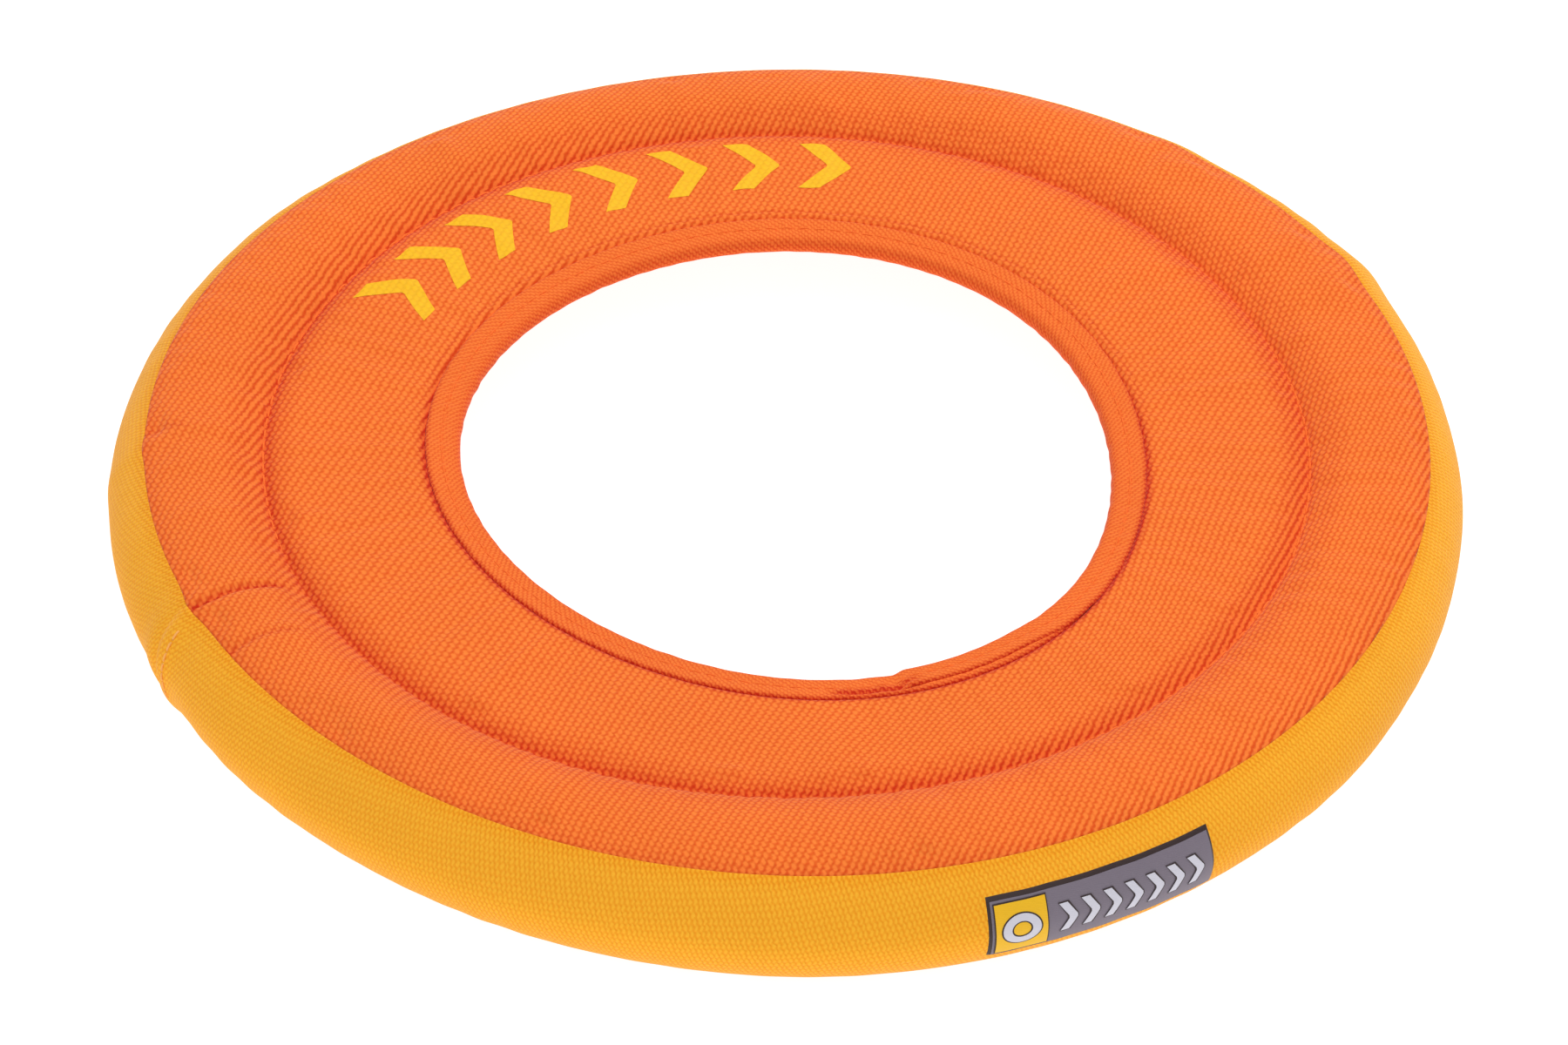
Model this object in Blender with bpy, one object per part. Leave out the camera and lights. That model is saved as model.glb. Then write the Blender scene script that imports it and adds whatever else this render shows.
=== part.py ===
"""Soft flying ring: a foam rim and a padded web in sewn cloth, with a bound hole.

Metres, +Z up. The ring lies flat on its rim, centred on the Z axis, with its underside at z = 0.
Bearings are in degrees round the ring, from -Y towards +X.
"""

from math import cos, hypot, pi, radians, sin, sqrt

import bmesh
import bpy

MM = 0.001

# Driving dimensions.
OUTER_RADIUS = 115.0 * MM
RIM_HEIGHT = 23.0 * MM
SEAM_RADIUS = 110.5 * MM
SEAM_HEIGHT = 19.0 * MM
GROOVE_RADIUS = 88.0 * MM
BINDING_RADIUS = 62.0 * MM
HOLE_RADIUS = 55.4 * MM

CROWN_RADIUS = 101.0 * MM
GROOVE_Z = 19.4 * MM
WEB_TOP = 20.6 * MM
WEB_BOTTOM = 16.0 * MM
HEM_TOP = 19.5 * MM
CLOTH = 0.7 * MM
TAPE = 0.6 * MM
GAP = 0.3 * MM
THREAD = 0.4 * MM
FOOT_HALF_WIDTH = 2.5 * MM
HEEL_RADIUS = 7.0 * MM
RIM_START = 0.9 * MM
PINCH_WIDTH = 2.2 * MM
PAD_START = 3.5 * MM
SLOPE_START = 0.6 * MM
HEM_INSET = 1.4 * MM
TAPE_ROW_INSET = 2.2 * MM
SHOULDER_WIDTH = 4.5 * MM
SEAM_THREAD_INSET = 1.35 * MM
SEAM_THREAD_DEPTH = 0.75 * MM
JOINT_THREAD_CLEAR = 2.0 * MM

BAND_JOINT = -66.3
JOINT_THREAD_OFFSET = 1.6
FOAM_JOINT = -62.0
TAPE_START = 18.0
TAPE_LAP = 32.0
TAPE_CLIMB = 10.0
LABEL_BEARING = 26.8
LABEL_LENGTH = 40.0 * MM
LABEL_HEIGHT = 11.5 * MM
LABEL_THICKNESS = 0.4 * MM
JOINT_OPENING = 0.25

MARK_COUNT = 8
FIRST_MARK = 238.2
MARK_PITCH = -8.85
MARK_RADIUS = 77.0 * MM
MARK_HEIGHT = 13.4 * MM
MARK_WIDTH = 9.5 * MM
MARK_ARM = 4.2 * MM
MARK_THICKNESS = 0.2 * MM

FACETS = 48

# Worked out from the driving dimensions.
MID_Z = RIM_HEIGHT / 2
SEAM_TOP = MID_Z + SEAM_HEIGHT / 2
SEAM_BOTTOM = MID_Z - SEAM_HEIGHT / 2


def arc_radius(half_chord, rise):
    return (half_chord**2 + rise**2) / (2 * rise)


BAND_ARC = arc_radius(SEAM_HEIGHT / 2, OUTER_RADIUS - SEAM_RADIUS)
BAND_CENTRE = (OUTER_RADIUS - BAND_ARC, MID_Z)
CROWN_ARC = arc_radius(SEAM_RADIUS - CROWN_RADIUS, RIM_HEIGHT - SEAM_TOP)
CROWN_CENTRE = (CROWN_RADIUS, RIM_HEIGHT - CROWN_ARC)
SOLE_ARC = arc_radius(SEAM_RADIUS - CROWN_RADIUS - FOOT_HALF_WIDTH, SEAM_BOTTOM)
WALL_RADIUS = GROOVE_RADIUS + CLOTH


def crown_z(radius, depth=0.0):
    """Height of the rim's rounded top, depth below its outer face."""
    centre_r, centre_z = CROWN_CENTRE
    return centre_z + sqrt((CROWN_ARC - depth) ** 2 - (radius - centre_r) ** 2)


def band_radius(z, depth=0.0):
    """Radius of the rim's bulging side, depth inside its outer face."""
    centre_r, centre_z = BAND_CENTRE
    return centre_r + sqrt((BAND_ARC - depth) ** 2 - (z - centre_z) ** 2)


def steps(first, last, count):
    """Evenly spaced values, count of them, both ends included."""
    return [first + (last - first) * i / (count - 1) for i in range(count)]


def thickened(line, thickness):
    """A closed section: the line and its copy, moved by thickness to the right of its direction."""
    inner = []
    for i, (r, z) in enumerate(line):
        before = line[max(i - 1, 0)]
        after = line[min(i + 1, len(line) - 1)]
        along = (after[0] - before[0], after[1] - before[1])
        length = hypot(*along)
        turn = mitre(before, (r, z), after)
        inner.append((r + along[1] / length * thickness * turn, z - along[0] / length * thickness * turn))
    return line + inner[::-1]


def mitre(before, here, after):
    """How much further a corner of an offset line lies than its straight stretches."""
    first = (here[0] - before[0], here[1] - before[1])
    second = (after[0] - here[0], after[1] - here[1])
    lengths = hypot(*first) * hypot(*second)
    if not lengths:
        return 1.0
    cosine = (first[0] * second[0] + first[1] * second[1]) / lengths
    return 1 / sqrt((1 + cosine) / 2)


def place(radius, bearing, z):
    return (radius * sin(radians(bearing)), -radius * cos(radians(bearing)), z)


def facet_bearings(start, end):
    """The ring's regular facet bearings between two bearings, with both ends."""
    pitch = 360 / FACETS
    regular = [pitch * i for i in range(-FACETS, 3 * FACETS)]
    clear = pitch / 8
    return [start] + [b for b in regular if start + clear < b < end - clear] + [end]


def new_object(name, mesh_data, material):
    mesh = bpy.data.meshes.new(name)
    mesh_data.to_mesh(mesh)
    mesh_data.free()
    mesh.materials.append(material)
    mesh.shade_smooth()
    mesh.set_sharp_from_angle(angle=radians(30))
    piece = bpy.data.objects.new(name, mesh)
    bpy.context.scene.collection.objects.link(piece)
    return piece


def swept(name, material, section, bearings=None):
    """A solid swept round the Z axis. section(bearing) gives its (radius, z) outline, the same
    number of points each time. Without bearings it closes on itself."""
    mesh = bmesh.new()
    closed = bearings is None
    stops = [360 / FACETS * i for i in range(FACETS)] if closed else bearings
    rings = [[mesh.verts.new(place(r, stop, z)) for r, z in section(stop)] for stop in stops]
    pairs = zip(rings, rings[1:] + rings[:1] if closed else rings[1:])
    for ring, following in pairs:
        for i in range(len(ring)):
            j = (i + 1) % len(ring)
            mesh.faces.new((ring[i], ring[j], following[j], following[i]))
    if not closed:
        mesh.faces.new(rings[0])
        mesh.faces.new(rings[-1][::-1])
    bmesh.ops.recalc_face_normals(mesh, faces=mesh.faces)
    return new_object(name, mesh, material)


def material(name, colour, roughness, metallic=0.0):
    made = bpy.data.materials.new(name)
    made.use_nodes = True
    shader = made.node_tree.nodes["Principled BSDF"]
    shader.inputs["Base Color"].default_value = (*colour, 1)
    shader.inputs["Roughness"].default_value = roughness
    shader.inputs["Metallic"].default_value = metallic
    made.diffuse_color = (*colour, 1)
    return made


def diamond(radius, z, size):
    """Outline of a thread's cross-section."""
    half = size / 2
    return [(radius - half, z), (radius, z + half), (radius + half, z), (radius, z - half)]


def make_top_panel(cloth):
    """One flat-cut ring of cloth from the hole's binding, over the web and groove, to the rim's top seam."""
    edge = GROOVE_RADIUS + RIM_START
    rim = [(r, crown_z(r)) for r in steps(SEAM_RADIUS - GAP, edge, 6)]
    web = [
        (GROOVE_RADIUS, GROOVE_Z),
        (GROOVE_RADIUS - PINCH_WIDTH, WEB_TOP),
        (BINDING_RADIUS + PAD_START, WEB_TOP),
        (BINDING_RADIUS + SLOPE_START, HEM_TOP),
        (HOLE_RADIUS + HEM_INSET, HEM_TOP),
    ]
    outline = thickened((rim + web)[::-1], CLOTH)
    swept("top_panel", cloth, lambda bearing: outline)


def make_web_underside_panel(cloth):
    """The ring of cloth under the web, from the binding to the groove's stitching."""
    hem = HEM_TOP - 2 * CLOTH - GAP
    line = [
        (GROOVE_RADIUS + GAP, WEB_BOTTOM),
        (BINDING_RADIUS + PAD_START, WEB_BOTTOM),
        (BINDING_RADIUS + SLOPE_START, hem),
        (HOLE_RADIUS + HEM_INSET, hem),
    ]
    outline = thickened(line, CLOTH)
    swept("web_underside_panel", cloth, lambda bearing: outline)


def make_rim_underside_panel(cloth):
    """The ring of cloth under the rim and up its inner wall, with its hem caught in the groove's stitching."""
    heel = (WALL_RADIUS + HEEL_RADIUS, HEEL_RADIUS)
    curve = []
    for turn in steps(0, pi / 2, 4):
        curve.append((heel[0] - HEEL_RADIUS * sin(turn), heel[1] - HEEL_RADIUS * cos(turn)))
    sole_r = CROWN_RADIUS + FOOT_HALF_WIDTH
    sole = []
    for r in steps(SEAM_RADIUS - GAP, sole_r, 3):
        sole.append((r, SOLE_ARC - sqrt(SOLE_ARC**2 - (r - sole_r) ** 2)))
    hem = [
        (WALL_RADIUS, WEB_BOTTOM + CLOTH + GAP),
        (GROOVE_RADIUS - 1.0 * MM, WEB_BOTTOM + CLOTH + GAP),
    ]
    outline = thickened(sole + [(CROWN_RADIUS - FOOT_HALF_WIDTH, 0.0)] + curve + hem, CLOTH)
    swept("rim_underside_panel", cloth, lambda bearing: outline)


def make_side_band(cloth):
    """The strip round the rim's side, its ends meeting at one upright joint."""
    low = SEAM_BOTTOM + GAP
    line = [(band_radius(z), z) for z in steps(low, SEAM_TOP - GAP, 5)]
    outline = thickened(line[::-1], CLOTH)
    stops = facet_bearings(BAND_JOINT + JOINT_OPENING, BAND_JOINT + 360 - JOINT_OPENING)
    swept("side_band", cloth, lambda bearing: outline, stops)


def make_rim_foam(foam):
    """The foam strip that fills the rim, bent into a ring with its ends butted together."""
    skin = CLOTH + GAP
    inner = WALL_RADIUS + skin
    shoulder = CROWN_RADIUS + SHOULDER_WIDTH
    bevel = 2.0 * MM
    side_levels = (17.5 * MM, MID_Z, 5.5 * MM)
    top = [(r, crown_z(r, skin)) for r in steps(inner + SLOPE_START, shoulder, 4)]
    side = [(band_radius(z, skin + GAP), z) for z in side_levels]
    sole = [
        (shoulder, skin + THREAD / 2),
        (inner + HEEL_RADIUS, skin),
        (inner + bevel, skin + bevel),
        (inner, skin + HEEL_RADIUS),
        (inner, WEB_BOTTOM + 2 * CLOTH + 2 * GAP),
    ]
    outline = top + side + sole
    stops = facet_bearings(FOAM_JOINT + JOINT_OPENING, FOAM_JOINT + 360 - JOINT_OPENING)
    swept("rim_foam", foam, lambda bearing: outline, stops)


def make_web_foam(foam):
    """The flat foam ring that pads the web."""
    low = WEB_BOTTOM + CLOTH + GAP
    high = WEB_TOP - CLOTH - GAP
    inner = BINDING_RADIUS + PAD_START + THREAD
    outer = GROOVE_RADIUS - PINCH_WIDTH - CLOTH
    outline = [(inner, low), (outer - GAP, low), (outer - GAP, high), (inner, high)]
    swept("web_foam", foam, lambda bearing: outline)


def make_hole_binding(cloth):
    """The tape folded over the hole's edge. Its start laps over its end."""
    slot_top = HEM_TOP + GAP
    slot_bottom = HEM_TOP - 2 * CLOTH - 2 * GAP
    slot_middle = (slot_top + slot_bottom) / 2
    fold = HOLE_RADIUS + TAPE
    outer_flat = 1.0 * MM
    inner_flat = 0.6 * MM
    lap_end = TAPE_START + TAPE_LAP + TAPE_CLIMB

    def section(bearing):
        lift = (TAPE + GAP) * min(max((lap_end - bearing) / TAPE_CLIMB, 0), 1)
        outside = lift + TAPE
        return [
            (BINDING_RADIUS, slot_top + lift),
            (BINDING_RADIUS, slot_top + outside),
            (fold + TAPE, slot_top + outside),
            (fold - outside, slot_middle + outer_flat + lift / 2),
            (fold - outside, slot_middle - outer_flat - lift / 2),
            (fold + TAPE, slot_bottom - outside),
            (BINDING_RADIUS, slot_bottom - outside),
            (BINDING_RADIUS, slot_bottom - lift),
            (fold + TAPE, slot_bottom - lift),
            (fold - lift, slot_middle - inner_flat - lift / 2),
            (fold - lift, slot_middle + inner_flat + lift / 2),
            (fold + TAPE, slot_top + lift),
        ]

    stops = facet_bearings(TAPE_START, TAPE_START + 360 + TAPE_LAP)
    stops += [TAPE_START + TAPE_LAP, lap_end]
    swept("hole_binding", cloth, section, sorted(stops))


def make_threads(thread, band_thread):
    """The lines of sewing, each thread as a plain ring that lies on the cloth it holds down."""
    over = GAP + THREAD / 2
    tape_top = HEM_TOP + GAP + TAPE
    tape_bottom = HEM_TOP - 2 * CLOTH - 2 * GAP - TAPE
    row = BINDING_RADIUS - TAPE_ROW_INSET
    lap = TAPE + GAP
    rings = {
        "groove_needle_thread": (GROOVE_RADIUS, GROOVE_Z + over + GAP),
        "groove_bobbin_thread": (GROOVE_RADIUS - THREAD, WEB_BOTTOM - over),
        "binding_needle_thread": (row, tape_top + lap + over),
        "binding_bobbin_thread": (row, tape_bottom - lap - over),
    }
    for name, (radius, z) in rings.items():
        outline = diamond(radius, z, THREAD)
        swept(name, thread, lambda bearing, outline=outline: outline)
    seams = {
        "top_seam_thread": SEAM_TOP - SEAM_THREAD_DEPTH,
        "bottom_seam_thread": SEAM_BOTTOM + SEAM_THREAD_DEPTH,
    }
    for name, z in seams.items():
        outline = diamond(SEAM_RADIUS - SEAM_THREAD_INSET, z, THREAD)
        swept(name, band_thread, lambda bearing, outline=outline: outline)


def make_band_seam_thread(thread):
    """The upright row of topstitching beside the side band's joint."""
    low = SEAM_BOTTOM + JOINT_THREAD_CLEAR
    line = [(band_radius(z) + GAP, z) for z in steps(low, SEAM_TOP - JOINT_THREAD_CLEAR, 7)]
    outline = thickened(line, -THREAD)
    half_turn = THREAD / 2 / OUTER_RADIUS * 180 / pi
    beside = BAND_JOINT + JOINT_THREAD_OFFSET
    outline = [(r + GAP, z) for r, z in outline]
    swept("band_seam_thread", thread, lambda bearing: outline, [beside - half_turn, beside + half_turn])


def make_side_label(label):
    """The oblong label on the rim's side."""
    clear = 2 * GAP
    low = MID_Z - LABEL_HEIGHT / 2
    line = [(band_radius(z) + clear, z) for z in steps(low, low + LABEL_HEIGHT, 5)]
    outline = thickened(line, -LABEL_THICKNESS)
    half_turn = LABEL_LENGTH / 2 / OUTER_RADIUS * 180 / pi
    stops = facet_bearings(LABEL_BEARING - half_turn, LABEL_BEARING + half_turn)
    swept("side_label", label, lambda bearing: outline, stops)


def make_print_marks(print_film):
    """The row of chevrons pressed on the web, which point the way that the ring spins."""
    half = MARK_HEIGHT / 2
    tip = MARK_WIDTH / 2
    chevron = [
        (-tip, -half),
        (-tip + MARK_ARM, -half),
        (tip, 0.0),
        (-tip + MARK_ARM, half),
        (-tip, half),
        (tip - MARK_ARM, 0.0),
    ]
    bottom = WEB_TOP + GAP
    for i in range(MARK_COUNT):
        bearing = FIRST_MARK + MARK_PITCH * i
        mesh = bmesh.new()
        levels = []
        for z in (bottom, bottom + MARK_THICKNESS):
            turned = [(MARK_RADIUS + up, bearing - along / MARK_RADIUS * 180 / pi) for along, up in chevron]
            levels.append([mesh.verts.new(place(r, b, z)) for r, b in turned])
        lower, upper = levels
        for j in range(len(lower)):
            k = (j + 1) % len(lower)
            mesh.faces.new((lower[j], lower[k], upper[k], upper[j]))
        mesh.faces.new(lower[::-1])
        mesh.faces.new(upper)
        bmesh.ops.recalc_face_normals(mesh, faces=mesh.faces)
        new_object(f"print_mark_{i + 1}", mesh, print_film)


def main():
    for old in list(bpy.data.objects):
        bpy.data.objects.remove(old)
    orange = material("orange cloth", (0.82, 0.155, 0.03), 0.85)
    tape = material("orange tape", (0.84, 0.17, 0.035), 0.8)
    yellow = material("yellow cloth", (0.92, 0.40, 0.03), 0.85)
    foam = material("grey foam", (0.32, 0.32, 0.33), 0.95)
    orange_thread = material("orange thread", (0.87, 0.19, 0.045), 0.6)
    yellow_thread = material("pale yellow thread", (0.88, 0.55, 0.2), 0.6)
    film = material("yellow print", (1.0, 0.54, 0.03), 0.5)
    grey_label = material("grey label", (0.24, 0.24, 0.27), 0.5)

    make_rim_foam(foam)
    make_web_foam(foam)
    make_top_panel(orange)
    make_web_underside_panel(orange)
    make_rim_underside_panel(orange)
    make_side_band(yellow)
    make_hole_binding(tape)
    make_threads(orange_thread, yellow_thread)
    make_band_seam_thread(yellow_thread)
    make_side_label(grey_label)
    make_print_marks(film)


main()
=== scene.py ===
"""Looks of the soft flying ring: sewn cloth over foam, a taped hole, stitching, a print and a label.

Lengths are in millimetres until a mesh is made. Bearings are in radians round the ring, from -Y
towards +X. A nominal point of the ring is (radius, bearing, height); settle() turns it into the
place that the soft, slightly out-of-round ring really has.
"""

from math import cos, pi, radians, sin, tau

import bpy
import numpy as np
from mathutils import Matrix, Vector


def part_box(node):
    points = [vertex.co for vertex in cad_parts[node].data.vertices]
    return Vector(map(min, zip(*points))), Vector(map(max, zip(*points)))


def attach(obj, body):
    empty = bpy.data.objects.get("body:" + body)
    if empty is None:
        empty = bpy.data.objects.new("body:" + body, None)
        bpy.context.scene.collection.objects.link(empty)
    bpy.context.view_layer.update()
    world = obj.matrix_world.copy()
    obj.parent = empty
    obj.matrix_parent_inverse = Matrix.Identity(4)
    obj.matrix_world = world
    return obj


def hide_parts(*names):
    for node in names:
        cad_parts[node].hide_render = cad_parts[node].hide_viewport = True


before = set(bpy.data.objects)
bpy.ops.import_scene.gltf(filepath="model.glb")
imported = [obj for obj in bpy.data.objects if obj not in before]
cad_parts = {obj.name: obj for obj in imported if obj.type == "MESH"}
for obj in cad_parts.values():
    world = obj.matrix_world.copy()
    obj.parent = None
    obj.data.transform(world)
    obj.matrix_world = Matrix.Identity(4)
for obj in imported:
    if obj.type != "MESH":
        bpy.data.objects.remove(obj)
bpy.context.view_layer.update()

MM = 0.001


# ---------------------------------------------------------------- dimensions, from the CAD frame


def outer_radius(node):
    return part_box(node)[1].x / MM


def height_range(node):
    low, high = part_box(node)
    return low.z / MM, high.z / MM


RIM_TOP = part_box("top_panel")[1].z / MM
RIM_OUT = outer_radius("side_band")
TAPE_OUT = outer_radius("hole_binding")
GROOVE = outer_radius("groove_needle_thread") - 0.2
WEB_TOP = height_range("print_mark_1")[0] - 0.3
WEB_BOTTOM = height_range("web_underside_panel")[0]

MID = RIM_TOP / 2
CROWN = 100.5
SEAM = 109.0
SEAM_Z = RIM_TOP - 2.0
SOLE_SEAM = 110.3
SOLE_SEAM_Z = 2.0
GROOVE_Z = 19.2
HOLE = 56.0
HEM_Z = 19.5
TAPE_LEVEL = 20.2
TAPE_RISE = 0.45
RIBBON = 1.3
TAPE_ROW = 2.8
TAPE_UNDER = 16.9
WALL = 88.7
HEEL = 7.0
WEB_SWELL = 0.35
PINCH_REACH = 6.5
HEM_UNDER = 17.8
TAPE_END_FOLD = (radians(5), radians(9), radians(22))
REST_GAP = 0.03

# How far out of round the soft ring is: each outline's push outwards in mm, then its waves as (mm,
# number of lobes, bearing of a crest in degrees). The hole is an oval with a little of a triangle
# in it, the groove sits off centre, the rim is faintly three-cornered, and its top leans in and a
# little back. TOP_LEAN is how far the rim's top leans out.
HOLE_SHAPE = (0.5, (2.0, 2, 20), (1.0, 3, 30))
GROOVE_SHAPE = (0.5, (1.5, 1, 210))
RIM_SHAPE = (-0.5, (1.0, 3, 15), (0.5, 2, 120))
TOP_LEAN = (-0.5, (0.5, 2, 70), (0.5, 1, 170))

# Small kinks where the rim's seams pull: (bearing in degrees, outward push, half width along the
# rim, both in mm).
KINKS = ((119.5, 0.9, 3.0), (142.5, 0.5, 2.5), (-88.0, 0.4, 1.8), (-65.5, 0.7, 2.0))

# Where the foam fills the side band out more: (bearing in degrees, outward push in mm, half width
# in degrees).
BAND_SWELLS = (
    (123.0, 1.0, 12.0),
    (-125.0, 0.6, 8.0),
    (-51.0, 0.7, 9.0),
    (53.0, 0.5, 12.0),
    (3.0, 0.45, 9.0),
)

# Creases across the rim's top: (bearing at the seam in degrees, then in mm the nearest radius, the
# furthest radius, the depth, the half width, how far the inner end swings round the rim and how
# much the line is bowed).
CREASES = (
    (-65.2, 89.5, 109.5, 0.85, 0.65, 1.9, 1.1),
    (-58.3, 93.0, 109.5, 0.4, 0.7, 3.2, 0.4),
    (-90.0, 100.0, 109.5, 0.25, 0.9, 0.4, 0.4),
)

# A fine line outside the tape on the far side, where the hem under the cloth ends.
FAR_LINE = 1.7

BAND_JOINT = radians(-65.4)
JOINT_SLANT = 3.0
BAND_SKEW = 0.47
BAND_SKEW_LENGTH = 50.0
TAPE_END = radians(16.4)
TAPE_LAP = radians(32.0)
TAPE_EMERGE = radians(2.6)
TAPE_CLIMB = radians(9.0)
LABEL = radians(26.8)
LABEL_LENGTH = 41.4
LABEL_HEIGHT = 10.8
LABEL_RAISE = 0.4
FILM_LIFT = 0.07

# The coarse sheet whose simulation puckers the top cloth, how much of that is kept and its cap.
PUCKER_COLUMNS = 200
PUCKER_RADII = np.linspace(TAPE_OUT, SEAM, 23)
PUCKER_SHARE = 0.35
PUCKER_CAP = 0.4
SHEET_MASS = 0.002
SHEET_BENDING = 0.05
SHEET_SLACK = 0.03
SHEET_FRAMES = 20
puckers = np.zeros((PUCKER_COLUMNS, len(PUCKER_RADII)))

GROOVE_STITCHES = 186
TAPE_STITCHES = 136
SEAM_STITCHES = 250


# ------------------------------------------------------------------------------ the ring's shape


def lobes(shape, bearing):
    """An outline's push outwards: the same all round, and its waves."""
    total = np.full_like(bearing, shape[0])
    for height, number, crest in shape[1:]:
        total = total + height * np.cos(number * (bearing - radians(crest)))
    return total


def smooth(value, low, high):
    """0 below low, 1 above high, and a smooth rise between."""
    t = np.clip((value - low) / (high - low), 0, 1)
    return t * t * (3 - 2 * t)


def bell(value, width):
    return np.exp(-((value / width) ** 2))


def turn(bearing, centre):
    """The bearing's signed angle from a centre bearing, the short way round."""
    return (bearing - centre + pi) % tau - pi


def far_side(bearing):
    """0 on the ring's near side and 1 on its far side, towards +Y."""
    return smooth(-np.cos(bearing), -0.2, 0.6)


def before_tape_end(bearing):
    """1 just before the place where the tape's first end comes up, and 0 well away from it."""
    start, full, gone = TAPE_END_FOLD
    bearing = bearing % tau
    return smooth(bearing, start, full) * (1 - smooth(bearing, TAPE_END, gone))


def waves(seed, bearing, along, low, high, count=7, along_scale=0.25):
    """Gentle irregular waves, about -1 to 1, that meet themselves round the ring.

    low and high bound the number of waves round the ring."""
    random = np.random.RandomState(seed)
    total = np.zeros(np.broadcast(bearing, along).shape)
    for number in random.randint(low, high, count):
        slope = random.uniform(-along_scale, along_scale)
        total = total + np.sin(number * bearing + slope * along + random.uniform(0, tau))
    return total / np.sqrt(count)


def settle(radius, bearing, height):
    """The place of a nominal point: the ring's plan is a little out of round, and its side leans."""
    radius, bearing, height = np.broadcast_arrays(radius, bearing, height)
    hole = lobes(HOLE_SHAPE, bearing)
    groove = lobes(GROOVE_SHAPE, bearing)
    rim = lobes(RIM_SHAPE, bearing)
    lean = lobes(TOP_LEAN, bearing)
    to_groove = smooth(radius, 63, 86)
    to_rim = smooth(radius, 90, 106)
    push = hole * (1 - to_groove) + groove * to_groove * (1 - to_rim) + rim * to_rim
    push = push + lean * smooth(radius, 94, 108) * np.clip((height - MID) / (SEAM_Z - MID), 0, 1)
    for at, out, half_width in KINKS:
        arc = turn(bearing, radians(at)) * RIM_OUT
        high_up = 0.3 + 0.7 * smooth(height, 8, 17)
        push = push + out * bell(arc, half_width * 2) * smooth(radius, 103, 109) * high_up
    r = radius + push
    return np.stack([r * np.sin(bearing), -r * np.cos(bearing), height], -1)


def top_height(radius):
    """Height of the top cloth's section: hem, padded web, sewn groove and rim crown."""
    web = HEM_Z + (WEB_TOP + 0.1 - HEM_Z) * smooth(radius, TAPE_OUT - 1.2, TAPE_OUT + 1.0)
    web = web + WEB_SWELL * np.sin(pi * np.clip((radius - TAPE_OUT) / (GROOVE - TAPE_OUT), 0, 1))
    pinch = np.clip((radius - (GROOVE - PINCH_REACH)) / PINCH_REACH, 0, 1) ** 2.6
    web = web + (GROOVE_Z - web) * pinch
    inner = np.clip((CROWN - radius) / (CROWN - GROOVE), 0, 1)
    rise = (1 - inner**2.3) ** 0.8
    outer = np.clip((radius - CROWN) / (SEAM - CROWN), 0, None)
    rim = GROOVE_Z + (RIM_TOP - GROOVE_Z) * rise - (RIM_TOP - SEAM_Z) * outer**2.3
    return np.where(radius < GROOVE, web, rim)


def crease_arc(bearing, radius, mark):
    """Distance from a crease's bowed line, measured round the rim."""
    at, near, far, _, _, swing, bow = mark
    t = np.clip((radius - near) / (far - near), 0, 1)
    line = swing * (1 - t) ** 2 - bow * np.sin(pi * np.sqrt(t))
    return turn(bearing, radians(at)) * radius - line


def crease(bearing, radius, mark):
    """A fold line across the rim, with the cloth swollen a little on both its sides."""
    near, far, depth, half_width = mark[1:5]
    arc = crease_arc(bearing, radius, mark)
    fade = smooth(radius, near, near + 4) * (0.55 + 0.45 * smooth(radius, near + 2, far))
    fade = fade * (1 - 0.7 * smooth(radius, SEAM - 1.6, SEAM))
    valley = bell(arc, half_width)
    shoulder = 0.35 * bell(np.abs(arc) - 3 * half_width, 2 * half_width)
    return depth * fade * (shoulder - valley)


def crease_shade(radius, bearing):
    """How much painted shade a crease gives a point of the top cloth, 0 to 1."""
    total = 0.0
    for mark in CREASES:
        near, far, depth, half_width = mark[1:5]
        fade = smooth(radius, near, near + 4) * (1 - smooth(radius, far - 0.5, far + 0.5))
        arc = crease_arc(bearing, radius, mark)
        total = total + 1.35 * depth * fade * bell(arc, 0.8 * half_width)
    return total


def pucker(radius, bearing):
    """The simulated rise of the top cloth, between the points of its coarse sheet."""
    column = (bearing % tau) / tau * PUCKER_COLUMNS
    row = (radius - PUCKER_RADII[0]) / (PUCKER_RADII[1] - PUCKER_RADII[0])
    row = np.clip(row, 0, len(PUCKER_RADII) - 1.001)
    column, row = np.broadcast_arrays(column, row)
    c, r = column.astype(int) % PUCKER_COLUMNS, row.astype(int)
    across, along = smooth(column % 1, 0, 1), smooth(row % 1, 0, 1)
    c2 = (c + 1) % PUCKER_COLUMNS
    near = puckers[c, r] * (1 - across) + puckers[c2, r] * across
    far = puckers[c, r + 1] * (1 - across) + puckers[c2, r + 1] * across
    return near * (1 - along) + far * along


def top_relief(radius, bearing):
    """Height that sewing and handling add to the top cloth's section."""
    stitch = np.cos(GROOVE_STITCHES * bearing)
    from_groove = np.abs(radius - GROOVE)
    relief = -0.22 * (0.5 + 0.5 * stitch) * bell(from_groove, 1.3)
    drawn = waves(3, bearing, radius, 70, 130)
    relief = relief + 0.1 * drawn * bell(from_groove - 3.0, 2.6)
    gather = waves(5, bearing, radius, 60, 150)
    relief = relief + 0.13 * gather * smooth(radius, 102, 107) * (1 - smooth(radius, 108.2, 109))
    lumps = waves(8, bearing, radius, 4, 22, along_scale=0.12)
    relief = relief + 0.28 * lumps * smooth(radius, 90, 97) * (1 - smooth(radius, 104, 109))
    sag = waves(11, bearing, radius, 3, 12, along_scale=0.08)
    relief = relief + 0.2 * sag * smooth(radius, 63, 70) * (1 - smooth(radius, 80, 87))
    relief = relief - 0.16 * far_side(bearing) * bell(radius - TAPE_OUT - FAR_LINE, 0.35)
    for mark in CREASES:
        relief = relief + crease(bearing, radius, mark)
    return relief + pucker(radius, bearing)


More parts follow.
